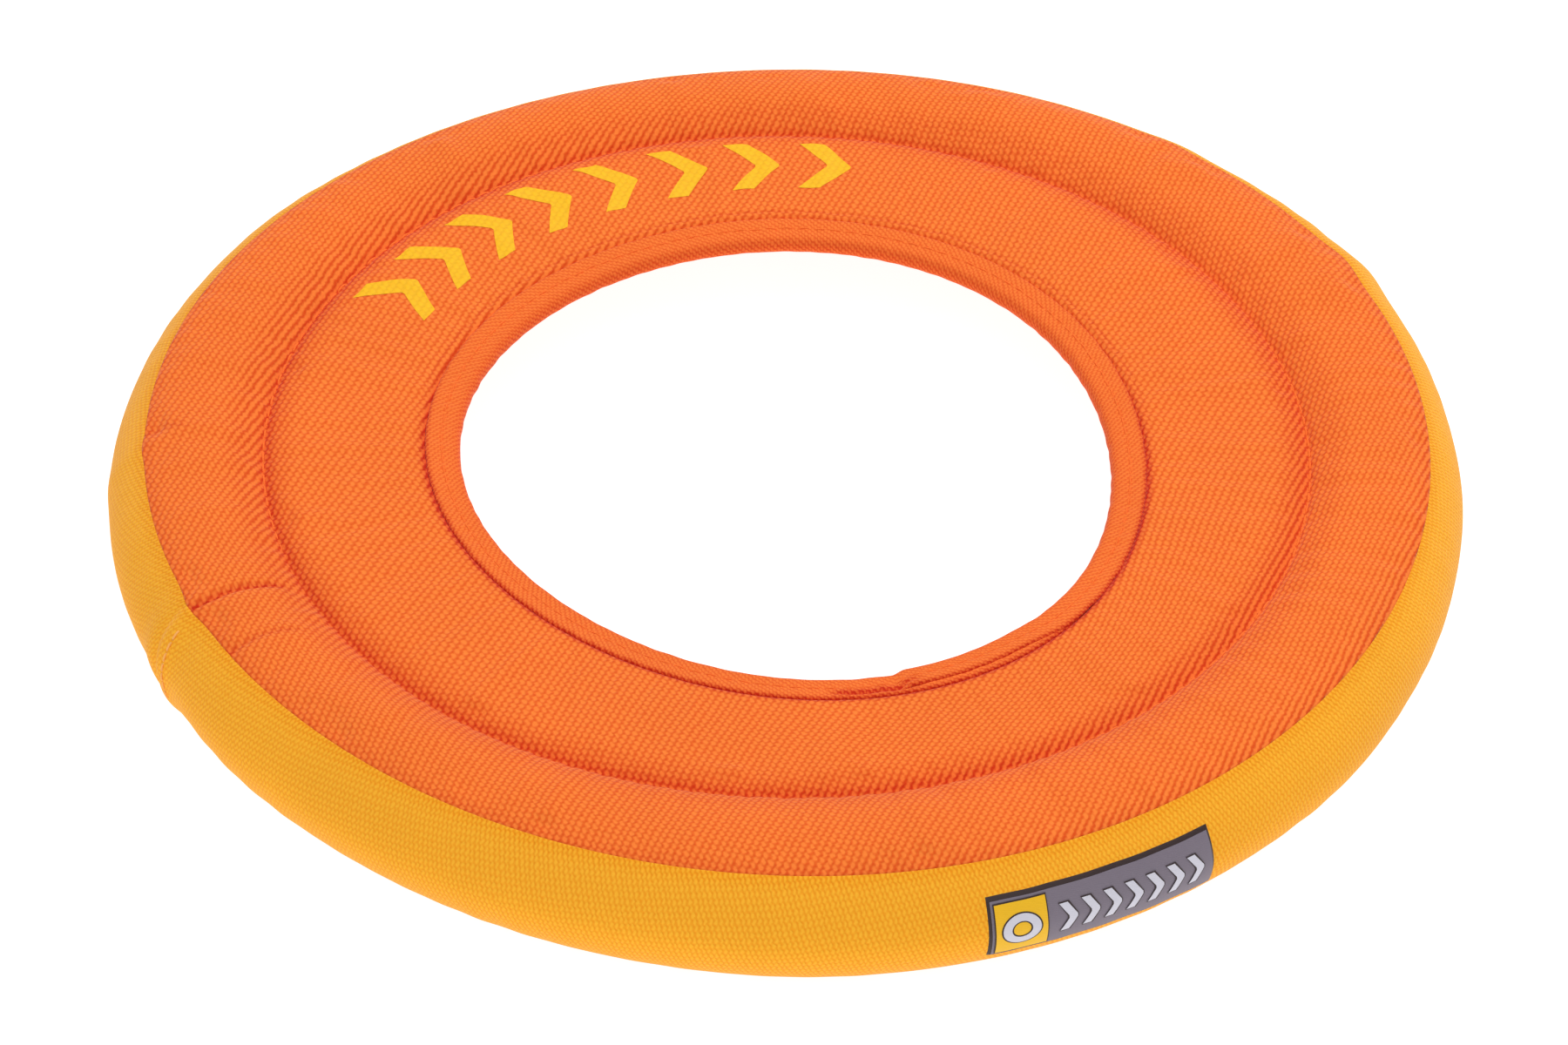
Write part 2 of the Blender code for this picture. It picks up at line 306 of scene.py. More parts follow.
def top_point(radius, bearing, lift=0.0):
    """A place on the top cloth, or lift above it."""
    height = top_height(radius) + top_relief(radius, bearing) + lift
    return settle(radius, bearing, height)


def band_section(share):
    """(radius, height) on the side band, share 0 at its lower seam and 1 at its upper one."""
    height = SOLE_SEAM_Z + (SEAM_Z - SOLE_SEAM_Z) * share
    chord = SOLE_SEAM + (SEAM - SOLE_SEAM) * share
    swell = (1 - (2 * share - 1) ** 2) ** 0.85
    middle = (SEAM + SOLE_SEAM) / 2
    return chord + (RIM_OUT - middle) * swell, height


def band_relief(share, bearing):
    """How far the band's cloth stands out from its section."""
    edge = 4 * share * (1 - share)
    arc = turn(bearing, BAND_JOINT) * RIM_OUT
    relief = 0.08 * waves(21, bearing, share * 20, 4, 26, along_scale=0.1) * edge
    relief = relief + 0.1 * waves(23, bearing, share * 20, 50, 120) * (1 - edge) * edge * 2
    for at, out, half_width in BAND_SWELLS:
        relief = relief + out * bell(turn(bearing, radians(at)), radians(half_width)) * edge**0.5
    slanted = arc + JOINT_SLANT * (share - 0.5)
    relief = relief - 0.55 * bell(slanted, 0.9) * edge**0.3
    relief = relief + 0.5 * bell(slanted - 2.4, 2.4) * edge**0.3
    relief = relief + 0.35 * bell(slanted + 3.2, 2.2) * edge**0.5
    return relief + 0.8 * bell(arc - 3.0, 4.0) * (1 - smooth(share, 0.0, 0.45))


def band_point(share, bearing, lift=0.0):
    radius, height = band_section(share)
    return settle(radius + band_relief(share, bearing) + lift, bearing, height)


# --------------------------------------------------------------------------------- mesh building


def bearings(count, start=0.0, end=None):
    """Evenly spaced bearings: once round the ring, or from start to end with both included."""
    if end is None:
        return start + np.arange(count) * tau / count
    return np.linspace(start, end, count)


def piece(name, points, faces, material):
    """An object from points in millimetres and quads, with one material."""
    mesh = bpy.data.meshes.new(name)
    points = np.ascontiguousarray(points.reshape(-1, 3) * MM, np.float32)
    faces = np.ascontiguousarray(faces, np.int32)
    mesh.vertices.add(len(points))
    mesh.vertices.foreach_set("co", points.ravel())
    mesh.loops.add(faces.size)
    mesh.loops.foreach_set("vertex_index", faces.ravel())
    mesh.polygons.add(len(faces))
    mesh.polygons.foreach_set("loop_start", np.arange(len(faces), dtype=np.int32) * faces.shape[1])
    mesh.polygons.foreach_set("use_smooth", np.full(len(faces), True))
    mesh.update(calc_edges=True)
    mesh.validate()
    mesh.materials.append(material)
    made = bpy.data.objects.new(name, mesh)
    bpy.context.scene.collection.objects.link(made)
    return made


def grid_faces(columns, rows, wrap_columns, wrap_rows=False, flip=False):
    """Quads of a grid whose points run row by row within each column."""
    c = np.arange(columns if wrap_columns else columns - 1)[:, None]
    r = np.arange(rows if wrap_rows else rows - 1)[None, :]
    c2 = (c + 1) % columns
    r2 = (r + 1) % rows
    corners = [c * rows + r, c2 * rows + r, c2 * rows + r2, c * rows + r2]
    if flip:
        corners = corners[::-1]
    return np.stack([corner.ravel() for corner in corners], 1)


def grid_piece(name, points, material, wrap_columns=False, flip=False):
    """An object from a (columns, rows, 3) grid of points."""
    columns, rows = points.shape[:2]
    faces = grid_faces(columns, rows, wrap_columns, flip=flip)
    return piece(name, points, faces, material)


def note(made, name, values):
    """Stores a value or a vector for each point, which the materials read by name."""
    values = np.ascontiguousarray(values, np.float32)
    if values.ndim > 1 and values.shape[-1] == 3:
        attribute = made.data.attributes.new(name, "FLOAT_VECTOR", "POINT")
        attribute.data.foreach_set("vector", values.ravel())
    else:
        attribute = made.data.attributes.new(name, "FLOAT", "POINT")
        attribute.data.foreach_set("value", values.ravel())


def no_ribs_or_shade(made):
    """Marks a piece as cloth with neither ribs nor painted shade."""
    for name in ("rib", "painted_shade"):
        note(made, name, np.zeros(len(made.data.vertices)))


def flat_ring(bearing, distance):
    """Places on a flat-cut ring of cloth, whose weave runs straight across it."""
    zero = np.zeros(np.broadcast(bearing, distance).shape)
    return np.stack([distance * np.sin(bearing), -distance * np.cos(bearing), zero], -1)


def show(made, node):
    """Puts a piece on the frame in place of a CAD node."""
    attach(made, "root")
    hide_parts(node)


def flat_strip(run, rise):
    """Places on a straight strip of cloth, whose weave runs along it."""
    return np.stack([run, rise, np.zeros_like(run)], -1)


def arc_length(points):
    """Distance along a line of points from its first."""
    leaps = np.sqrt((np.diff(points, axis=0) ** 2).sum(1))
    return np.concatenate([[0], np.cumsum(leaps)])


def tubes(name, paths, radius, material):
    """One mesh of many threads. paths is (threads, points, 3), and each tapers at both its ends."""
    sides = 8
    threads, count = paths.shape[:2]
    along = np.gradient(paths, axis=1)
    along /= np.linalg.norm(along, axis=2, keepdims=True)
    side = np.cross(along, [0, 0, 1.0])
    short = np.linalg.norm(side, axis=2, keepdims=True) < 1e-3
    side = np.where(short, [1.0, 0, 0], side)
    side /= np.linalg.norm(side, axis=2, keepdims=True)
    up = np.cross(side, along)
    taper = np.sqrt(np.clip(1 - np.linspace(-1, 1, count) ** 10, 0.02, 1)) * radius
    angle = np.arange(sides) * tau / sides
    ring = side[:, :, None] * np.cos(angle)[:, None] + up[:, :, None] * np.sin(angle)[:, None]
    points = paths[:, :, None] + ring * taper[None, :, None, None]
    one = grid_faces(count, sides, False, True)
    first = np.arange(threads)[:, None, None] * count * sides
    made = piece(name, points, (one[None] + first).reshape(-1, 4), material)
    turns = np.broadcast_to(angle / tau, (threads, count, sides))
    run = np.broadcast_to(np.linspace(0, 1, count)[None, :, None], turns.shape)
    which = np.broadcast_to(np.arange(threads)[:, None, None], turns.shape)
    note(made, "strand", np.stack([turns, run, which], -1))
    return made


def stitch_row(name, surface, count, share, height, radius, material):
    """Lockstitches on surface(bearing, lift): each rises from its hole, lies on the cloth and dives."""
    pitch = tau / count
    along = np.linspace(-0.5, 0.5, 11)
    centre = (np.arange(count)[:, None] + 0.5) * pitch
    stretch = share * pitch
    bearing = centre + along * stretch
    arch = height * (1 - np.abs(2 * along) ** 4) - 0.35 * (np.abs(2 * along) ** 8)
    lift = np.broadcast_to(arch, bearing.shape)
    return tubes(name, surface(bearing, lift), radius, material)


# ------------------------------------------------------------------------------------- materials


class Graph:
    """A material's node tree, with short calls for the nodes that the cloths share."""

    def __init__(self, name):
        self.material = bpy.data.materials.new(name)
        self.material.use_nodes = True
        self.tree = self.material.node_tree
        self.shader = self.tree.nodes["Principled BSDF"]

    def set(self, **values):
        for name, value in values.items():
            self.shader.inputs[name.replace("_", " ")].default_value = value

    def link(self, source, target):
        self.tree.links.new(source, target)

    def node(self, kind, *inputs, **settings):
        """A node. A number among the inputs is set on its socket, and an output is linked to it."""
        made = self.tree.nodes.new(kind)
        for name, value in settings.items():
            setattr(made, name, value)
        for socket, value in zip(made.inputs, inputs):
            if value is None:
                continue
            if isinstance(value, bpy.types.NodeSocket):
                self.link(value, socket)
            else:
                socket.default_value = value
        return made

    def math(self, operation, *inputs, clamp=False):
        made = self.node("ShaderNodeMath", *inputs, operation=operation, use_clamp=clamp)
        return made.outputs[0]

    def vector(self, operation, *inputs):
        made = self.node("ShaderNodeVectorMath", *inputs, operation=operation)
        return made.outputs["Value" if operation in ("DOT_PRODUCT", "LENGTH") else "Vector"]

    def scaled(self, vector, factor):
        made = self.node("ShaderNodeVectorMath", operation="SCALE")
        self.link(vector, made.inputs[0])
        if isinstance(factor, bpy.types.NodeSocket):
            self.link(factor, made.inputs["Scale"])
        else:
            made.inputs["Scale"].default_value = factor
        return made.outputs[0]

    def attribute(self, name, output="Vector"):
        return self.node("ShaderNodeAttribute", attribute_name=name).outputs[output]

    def noise(self, vector, scale, detail=2.0, output="Fac"):
        made = self.tree.nodes.new("ShaderNodeTexNoise")
        self.link(vector, made.inputs["Vector"])
        made.inputs["Scale"].default_value = scale
        made.inputs["Detail"].default_value = detail
        return made.outputs[output]

    def mix(self, factor, first, second, blend="MIX"):
        made = self.tree.nodes.new("ShaderNodeMix")
        made.data_type = "RGBA"
        made.blend_type = blend
        for socket, value in ((0, factor), (6, first), (7, second)):
            if isinstance(value, bpy.types.NodeSocket):
                self.link(value, made.inputs[socket])
            elif socket == 0:
                made.inputs[socket].default_value = value
            else:
                made.inputs[socket].default_value = (*value, 1)
        return made.outputs[2]

    def bump(self, height, distance):
        made = self.tree.nodes.new("ShaderNodeBump")
        made.inputs["Strength"].default_value = 1.0
        made.inputs["Distance"].default_value = distance
        self.link(height, made.inputs["Height"])
        return made.outputs[0]


def rgb(red, green, blue):
    """Linear colour from display values of 0 to 255."""

    def linear(value):
        value /= 255
        return value / 12.92 if value <= 0.04045 else ((value + 0.055) / 1.055) ** 2.4

    return tuple(linear(value) for value in (red, green, blue))


def weave_nodes(graph, across, along, bow):
    """The raised yarns of a plain weave. across and along are the two thread counts as vectors, in
    threads per mm, and bow says how much the counts change over the cloth. Returns the height of
    the yarn, about 0 to 1, and the cloth's coordinates."""
    flat = graph.attribute("flat")
    wander = graph.noise(graph.scaled(flat, 0.045), 1.0, 1.0, "Color")
    wander = graph.vector("SUBTRACT", wander, (0.5, 0.5, 0.5))
    flat = graph.vector("ADD", flat, graph.scaled(wander, 1.1))
    wobble = graph.noise(flat, 0.9, 1.0, "Color")
    wobble = graph.vector("SUBTRACT", wobble, (0.5, 0.5, 0.5))
    woven = graph.vector("ADD", flat, graph.scaled(wobble, 0.55))
    squares = graph.vector("MULTIPLY", flat, flat)
    m = graph.vector("DOT_PRODUCT", woven, (*across, 0))
    m = graph.math("ADD", m, graph.vector("DOT_PRODUCT", squares, (*bow[0], 0)))
    n = graph.vector("DOT_PRODUCT", woven, (*along, 0))
    n = graph.math("ADD", n, graph.vector("DOT_PRODUCT", squares, (*bow[1], 0)))
    m = graph.math("MULTIPLY", m, tau)
    n = graph.math("MULTIPLY", n, tau)
    # rib shows the rows of yarn stronger than the bumps: painted light on the real weave.
    rib = graph.attribute("rib", "Fac")
    less = graph.math("MULTIPLY_ADD", rib, -0.5, 1.0)
    rows = graph.math("MULTIPLY_ADD", rib, 0.6, 1.0)
    rows = graph.math("MULTIPLY", graph.math("COSINE", m), rows)
    bumps = graph.math("MULTIPLY", graph.math("COSINE", n), 0.5)
    slant = graph.math("SUBTRACT", n, graph.math("ADD", m, 0.17))
    bumps = graph.math("MULTIPLY_ADD", graph.math("COSINE", slant), 0.68, bumps)
    lower = graph.math("COSINE", graph.math("ADD", graph.math("ADD", m, n), 0.6))
    bumps = graph.math("MULTIPLY_ADD", lower, -0.3, bumps)
    pattern = graph.math("MULTIPLY_ADD", bumps, less, rows)
    finer = graph.math("COSINE", graph.math("MULTIPLY", m, 2.0))
    pattern = graph.math("MULTIPLY_ADD", finer, -0.14, pattern)
    return graph.math("MULTIPLY_ADD", pattern, 0.33, 0.66, clamp=True), flat


def cloth(name, top, gap, painted_shade, weave, depth):
    """Woven polyester: bumps of yarn with painted shade in the gaps between them, and a darker, redder
    painted shade in the grooves, creases and gaps that each piece marks.
    """
    graph = Graph(name)
    height, flat = weave_nodes(graph, *weave)
    fibres = graph.noise(graph.vector("MULTIPLY", flat, (1.6, 3.2, 1.0)), 1.0, 3.0)
    fibres = graph.math("SUBTRACT", fibres, 0.5)
    shown = graph.math("MULTIPLY_ADD", fibres, 0.5, height, clamp=True)
    # Yarn tops lighter and gaps darker: painted highlight and painted shade of the weave's relief.
    tone = graph.mix(shown, gap, top)
    patch = graph.noise(graph.scaled(flat, 0.03), 1.0, 3.0)
    patch = graph.math("MULTIPLY_ADD", patch, 0.12, 0.94)
    # Painted shade: the marked places are tinted darker and redder, most in the weave's gaps.
    in_gaps = graph.math("MULTIPLY_ADD", shown, -0.75, 1.3)
    shade_amount = graph.math("MULTIPLY", graph.attribute("painted_shade", "Fac"), in_gaps, clamp=True)
    tone = graph.mix(shade_amount, tone, graph.mix(1.0, tone, painted_shade, "MULTIPLY"))
    graph.link(graph.scaled(tone, patch), graph.shader.inputs["Base Color"])
    relief = graph.math("MULTIPLY_ADD", fibres, 0.35, height)
    graph.link(graph.bump(relief, depth * MM), graph.shader.inputs["Normal"])
    graph.set(Roughness=0.85, Specular_IOR_Level=0.08, Sheen_Weight=0.12, Sheen_Roughness=0.4)
    return graph.material


def thread_material(name, colour, dark):
    """Two-ply sewing thread, with its twist."""
    graph = Graph(name)
    strand = graph.node("ShaderNodeSeparateXYZ", graph.attribute("strand")).outputs
    twist = graph.math("MULTIPLY_ADD", strand["Y"], 5.0, strand["X"])
    ply = graph.math("PINGPONG", graph.math("MULTIPLY", twist, 2.0), 0.5)
    ply = graph.math("MULTIPLY", ply, 2.0)
    own = graph.node("ShaderNodeTexWhiteNoise", strand["Z"], noise_dimensions="1D").outputs["Value"]
    # dark is painted shade in the groove between the two plies.
    tone = graph.mix(ply, dark, colour)
    colour = graph.scaled(tone, graph.math("MULTIPLY_ADD", own, 0.2, 0.9))
    graph.link(colour, graph.shader.inputs["Base Color"])
    graph.link(graph.bump(ply, 0.015 * MM), graph.shader.inputs["Normal"])
    graph.set(Roughness=0.7, Specular_IOR_Level=0.1)
    return graph.material


def foam_material(name, colour):
    """Closed-cell foam, with the grain of its cells."""
    graph = Graph(name)
    place = graph.node("ShaderNodeTexCoord").outputs["Object"]
    cells = graph.tree.nodes.new("ShaderNodeTexVoronoi")
    graph.link(place, cells.inputs["Vector"])
    cells.inputs["Scale"].default_value = 900.0
    dark = tuple(c * 0.45 for c in colour)
    tone = graph.mix(graph.math("MULTIPLY", cells.outputs["Distance"], 1.6), dark, colour)
    graph.link(tone, graph.shader.inputs["Base Color"])
    graph.link(graph.bump(cells.outputs["Distance"], 0.3 * MM), graph.shader.inputs["Normal"])
    graph.set(Roughness=0.95, Specular_IOR_Level=0.1)
    return graph.material


def film_material(name, colour, worn, weave):
    """Heat-pressed print on the cloth: the weave shows through it as bumps, with painted highlight on
    the yarns and painted shade between them, and it is rubbed thin in random patches.
    """
    graph = Graph(name)
    height, flat = weave_nodes(graph, *weave)
    grain = graph.noise(graph.scaled(flat, 0.7), 1.0, 3.0)
    rub = graph.math("MULTIPLY", graph.math("SUBTRACT", grain, 0.45, clamp=True), 1.2)
    tone = graph.mix(rub, colour, worn)
    # Painted highlight on the yarns' tops and painted shade between them.
    colour = graph.scaled(tone, graph.math("MULTIPLY_ADD", height, 0.16, 0.86))
    graph.link(colour, graph.shader.inputs["Base Color"])
    graph.link(graph.bump(height, 0.06 * MM), graph.shader.inputs["Normal"])
    graph.set(Roughness=0.6, Specular_IOR_Level=0.15)
    return graph.material


def label_material(name, colour):
    """Fine printed satin, with its close cross threads."""
    graph = Graph(name)
    flat = graph.attribute("flat")
    lines = graph.vector("DOT_PRODUCT", flat, (0.6, 3.6, 0))
    lines = graph.math("PINGPONG", lines, 0.5)
    mottle = graph.noise(flat, 0.9, 3.0)
    shade = graph.math("MULTIPLY_ADD", lines, 0.1, graph.math("MULTIPLY_ADD", mottle, 0.12, 0.9))
    tinted = graph.mix(graph.math("MULTIPLY", mottle, 0.4), colour, tuple(c * 0.85 for c in colour))
    graph.link(graph.scaled(tinted, shade), graph.shader.inputs["Base Color"])
    graph.link(graph.bump(lines, 0.03 * MM), graph.shader.inputs["Normal"])
    graph.set(Roughness=0.5, Specular_IOR_Level=0.4)
    return graph.material


# Weaves of the three cloths: the two thread counts as vectors in threads per mm, then how much each
# count grows with the square of the distance from the cloth's middle.
STRAIGHT = ((0, 0), (0, 0))
TOP_WEAVE = ((0.765, -0.3), (-0.155, -0.845), ((0.0003, 0), (0.0006, 0.00025)))
BAND_WEAVE = ((1.10, 0.42), (-0.12, 1.02), STRAIGHT)
TAPE_WEAVE = ((0.85, 0.95), (-0.95, 0.85), STRAIGHT)

# In each cloth the second colour is painted shade in the weave's gaps, and the third tints the painted
# shade of grooves, creases and gaps.
ORANGE = cloth("orange cloth", rgb(255, 134, 56), rgb(228, 83, 25), (0.74, 0.23, 0.38), TOP_WEAVE, 0.12)
YELLOW = cloth("yellow cloth", rgb(255, 183, 50), rgb(243, 150, 28), (0.95, 0.85, 0.6), BAND_WEAVE, 0.1)
TAPE = cloth("orange tape", rgb(250, 126, 54), rgb(231, 91, 34), (0.72, 0.22, 0.38), TAPE_WEAVE, 0.06)
ORANGE_THREAD = thread_material("orange thread", rgb(255, 134, 60), rgb(244, 104, 42))
TAN_THREAD = thread_material("pale yellow thread", rgb(255, 194, 112), rgb(250, 170, 84))
FOAM = foam_material("grey foam", rgb(120, 120, 122))
PRINT = film_material("yellow print", rgb(255, 192, 32), rgb(252, 172, 34), TOP_WEAVE)
LABEL_GREY = label_material("label grey", rgb(124, 114, 127))
LABEL_DARK = label_material("label edge", rgb(50, 32, 32))
LABEL_YELLOW = label_material("label yellow", rgb(246, 190, 10))
LABEL_PALE = label_material("label pale", rgb(214, 212, 224))


# ------------------------------------------------------------------------------ cloth simulation


def simulate_puckers():
    """Lets the padding press the top cloth up between its seams, as a coarse sheet of slightly slack
    cloth held at the tape, the groove and the rim's seam. What is kept is how far each point ends
    above or below the others of its radius, so the ring's section stays as it is."""
    around = bearings(PUCKER_COLUMNS)[:, None]
    flat = settle(PUCKER_RADII[None], around, top_height(PUCKER_RADII)[None])
    sheet = grid_piece("simulated_sheet", flat, ORANGE, wrap_columns=True)
    rows = [int(np.abs(PUCKER_RADII - at).argmin()) for at in (TAPE_OUT, GROOVE, SEAM)]
    firsts = [column * len(PUCKER_RADII) for column in range(PUCKER_COLUMNS)]
    held = sheet.vertex_groups.new(name="held")
    held.add([first + row for first in firsts for row in rows], 1.0, "REPLACE")
    soft = sheet.modifiers.new("soft", "CLOTH").settings
    soft.quality = 6
    soft.mass = SHEET_MASS
    soft.tension_stiffness = 15
    soft.compression_stiffness = 15
    soft.shear_stiffness = 5
    soft.bending_stiffness = SHEET_BENDING
    soft.vertex_group_mass = "held"
    soft.use_pressure = True
    soft.uniform_pressure_force = 4
    soft.shrink_min = -SHEET_SLACK
    soft.effector_weights.gravity = 0
    scene = bpy.context.scene
    for number in range(1, SHEET_FRAMES + 1):
        scene.frame_set(number)
    pressed = sheet.evaluated_get(bpy.context.evaluated_depsgraph_get()).to_mesh()
    places = np.empty(len(pressed.vertices) * 3, np.float32)
    pressed.vertices.foreach_get("co", places)
    bpy.data.objects.remove(sheet)
    scene.frame_set(1)
    rise = places.reshape(flat.shape)[..., 2] / MM - flat[..., 2]
    rise = rise - rise.mean(axis=0)
    return np.clip(rise * PUCKER_SHARE, -PUCKER_CAP, PUCKER_CAP)


# ---------------------------------------------------------------------------------- cloth pieces


def graded_radii():
    """Stations across the top cloth, closer where it bends."""
    return np.concatenate(
        [
            np.linspace(HOLE + 1.6, TAPE_OUT - 0.5, 6, endpoint=False),
            np.linspace(TAPE_OUT - 0.5, TAPE_OUT + 4, 12, endpoint=False),
            np.linspace(TAPE_OUT + 4, GROOVE - 6, 18, endpoint=False),
            np.linspace(GROOVE - 6, GROOVE + 5, 30, endpoint=False),
            np.linspace(GROOVE + 5, SEAM - 3, 18, endpoint=False),
            np.linspace(SEAM - 3, SEAM, 9),
        ]
    )


# Direction across the rows of yarn. The rows show as ribs where the cloth tips this way: real rows of
# the weave, shown stronger by painted light on slopes that face one way.
RIB_SLOPE_DIRECTION = (0.907, -0.42)


def rib_share(radius, bearing, slope):
    """How strongly the rows of yarn show as ribs where the cloth's section slopes one way: painted
    light on the weave's real rows.
    """
    tip = -slope / np.sqrt(1 + slope**2)
    lean = tip * (np.sin(bearing) * RIB_SLOPE_DIRECTION[0] - np.cos(bearing) * RIB_SLOPE_DIRECTION[1])
    return smooth(lean, 0.08, 0.45)


def make_top_cloth():
    """The flat-cut ring of orange cloth from the hole, over web and groove, to the rim's top seam."""
    around = bearings(960)[:, None]
    radii = graded_radii()
    points = top_point(radii[None], around)
    tuck = [(SEAM - 0.25, SEAM_Z - 0.5), (SEAM - 1.2, SEAM_Z - 1.1)]
    tucked = np.stack([settle(r, around[:, 0], z) for r, z in tuck], 1)
    points = np.concatenate([points, tucked], 1)
    made = grid_piece("top_cloth", points, ORANGE, wrap_columns=True)
    section = np.stack([radii, top_height(radii)], 1)
    distance = radii[0] + arc_length(section)
    slope = np.gradient(section[:, 1], section[:, 0])
    distance = np.append(distance, distance[-1] + [0.6, 1.7])
    slope = np.append(slope, [slope[-1]] * 2)
    radii = np.append(radii, [SEAM, SEAM])
    note(made, "flat", flat_ring(around, distance[None]))
    note(made, "rib", rib_share(radii[None], around, slope[None]))
    far = far_side(around)
    right = smooth(np.sin(around), 0.3, 0.9)
    # Painted shade, darker and redder, in the cloth's hollows and gaps: the rim's inner slope, the edge
    # by the top seam, in and beside the groove, the gap by the tape's edge (less on the far side), the
    # far line and the creases.
    shade_amount = 0.2 * bell(radii - GROOVE - 3.2, 2.8) + 0.25 * smooth(radii, SEAM - 2.6, SEAM)
    shade_amount = shade_amount + (0.62 - 0.3 * right) * bell(radii - GROOVE + 0.4, 1.2)
    shade_amount = shade_amount + (0.22 + 0.16 * right) * bell(radii - GROOVE + 2.4, 2.2)
    shade_amount = shade_amount + 1.4 * (1 - 0.75 * far) * bell(radii - TAPE_OUT + 0.1, 0.95)
    shade_amount = shade_amount + 0.45 * far * bell(radii - TAPE_OUT - FAR_LINE, 0.3)
    note(made, "painted_shade", np.clip(shade_amount + crease_shade(radii[None], around), 0, 1.5))
    return made


def make_side_band():
    """The yellow strip round the rim's side, its ends closed in one slanted joint."""
    share = np.concatenate([[0.0], (1 - np.cos(np.linspace(0.12, pi - 0.12, 34))) / 2, [1.0]])
    around = bearings(1201, BAND_JOINT, BAND_JOINT + tau)[:, None]
    around = around - JOINT_SLANT * (share - 0.5) / RIM_OUT
    points = band_point(share[None], around)
    tuck_low = settle(SOLE_SEAM - 1.2, around[:, :1], SOLE_SEAM_Z + 0.7)
    tuck_high = settle(SEAM - 1.2, around[:, -1:], SEAM_Z - 0.9)
    points = np.concatenate([tuck_low, points, tuck_high], 1)
    made = grid_piece("side_band_cloth", points, YELLOW)
    radius, height = band_section(share)
    distance = arc_length(np.stack([radius, height], 1))
    distance = np.concatenate([[-1.2], distance, [distance[-1] + 1.2]])
    around = np.concatenate([around[:, :1], around, around[:, -1:]], 1)
    run = (around - BAND_JOINT) * RIM_OUT
    to_end = np.clip(tau * RIM_OUT - run, 0, BAND_SKEW_LENGTH)
    rise = distance[None] + BAND_SKEW * (to_end - to_end**2 / (2 * BAND_SKEW_LENGTH))
    note(made, "flat", flat_strip(run, rise))
    # On the ring's left side the band's rows are weakened and its slanting lines shown: painted light
    # on the real weave.
    note(made, "rib", -0.9 * smooth(-np.sin(around), 0.3, 0.9))
    # Painted shade along the band's edges, where it turns in to its seams.
    edge = np.concatenate([[1], 1 - smooth(4 * share * (1 - share), 0.0, 0.35), [1]])
    note(made, "painted_shade", np.broadcast_to(edge[None], points.shape[:2]))
    return made


def skin_of_section(name, section, material, columns, flip=False, relief=0.0, seed=0):
    """A ring of cloth with the same section all round, and a little unevenness."""
    around = bearings(columns)[:, None]
    section = np.array(section)
    distance = arc_length(section)
    direction = np.gradient(section, axis=0)
    direction /= np.linalg.norm(direction, axis=1, keepdims=True)
    uneven = relief * waves(seed, around, distance[None], 8, 60)
    ends = smooth(distance, 0, 4)[None] * (1 - smooth(distance, distance[-1] - 4, distance[-1]))[None]
    uneven = uneven * ends
    radius = section[None, :, 0] - uneven * direction[None, :, 1]
    height = np.maximum(section[None, :, 1] + uneven * direction[None, :, 0], REST_GAP)
    points = settle(radius, around, height)
    made = grid_piece(name, points, material, wrap_columns=True, flip=flip)
    note(made, "flat", flat_ring(around, section[0, 0] + distance[None]))
    no_ribs_or_shade(made)
    return made


def spaced(line, count):
    """The same line with a number of evenly spaced points."""
    line = np.array(line, float)
    distance = arc_length(line)
    stations = np.linspace(0, distance[-1], count)
    return np.stack([np.interp(stations, distance, line[:, i]) for i in (0, 1)], 1)


def dense(line, step=0.9):
    """The same line with points at most step apart."""
    return spaced(line, int(arc_length(np.array(line, float))[-1] / step) + 2)


def make_rim_underside():
    """The orange cloth under the rim and up its inner wall, to the groove's stitching."""
    sole = [(SOLE_SEAM - 1.3, SOLE_SEAM_Z + 0.9), (SOLE_SEAM - 0.1, SOLE_SEAM_Z - 0.1)]
    for t in np.linspace(0, 1, 10)[1:]:
        sole.append((SOLE_SEAM - 0.1 - 8 * t, (SOLE_SEAM_Z - 0.1) * (1 - t) ** 2.6))
    heel = []
    for t in np.linspace(0, pi / 2, 10):
        heel.append((WALL + HEEL * (1 - sin(t)), HEEL * (1 - cos(t))))
    wall = [(WALL, WEB_BOTTOM + 0.2), (WALL - 0.5, WEB_BOTTOM + 0.6), (GROOVE - 1.0, WEB_BOTTOM + 0.9)]
    return skin_of_section(
        "rim_underside_cloth", dense(sole + heel + wall), ORANGE, 480, relief=0.25, seed=31
    )


def make_web_underside():
    """The orange cloth under the web, padded out between the binding and the groove."""
    line = []
    for r in np.linspace(HOLE + 1.6, GROOVE + 0.3, 48):
        swell = smooth(r, TAPE_OUT - 0.5, TAPE_OUT + 3) * (1 - smooth(r, GROOVE - 4, GROOVE))
        line.append((r, HEM_UNDER - (HEM_UNDER - WEB_BOTTOM) * swell))
    return skin_of_section("web_underside_cloth", line, ORANGE, 480, flip=True, relief=0.2, seed=33)


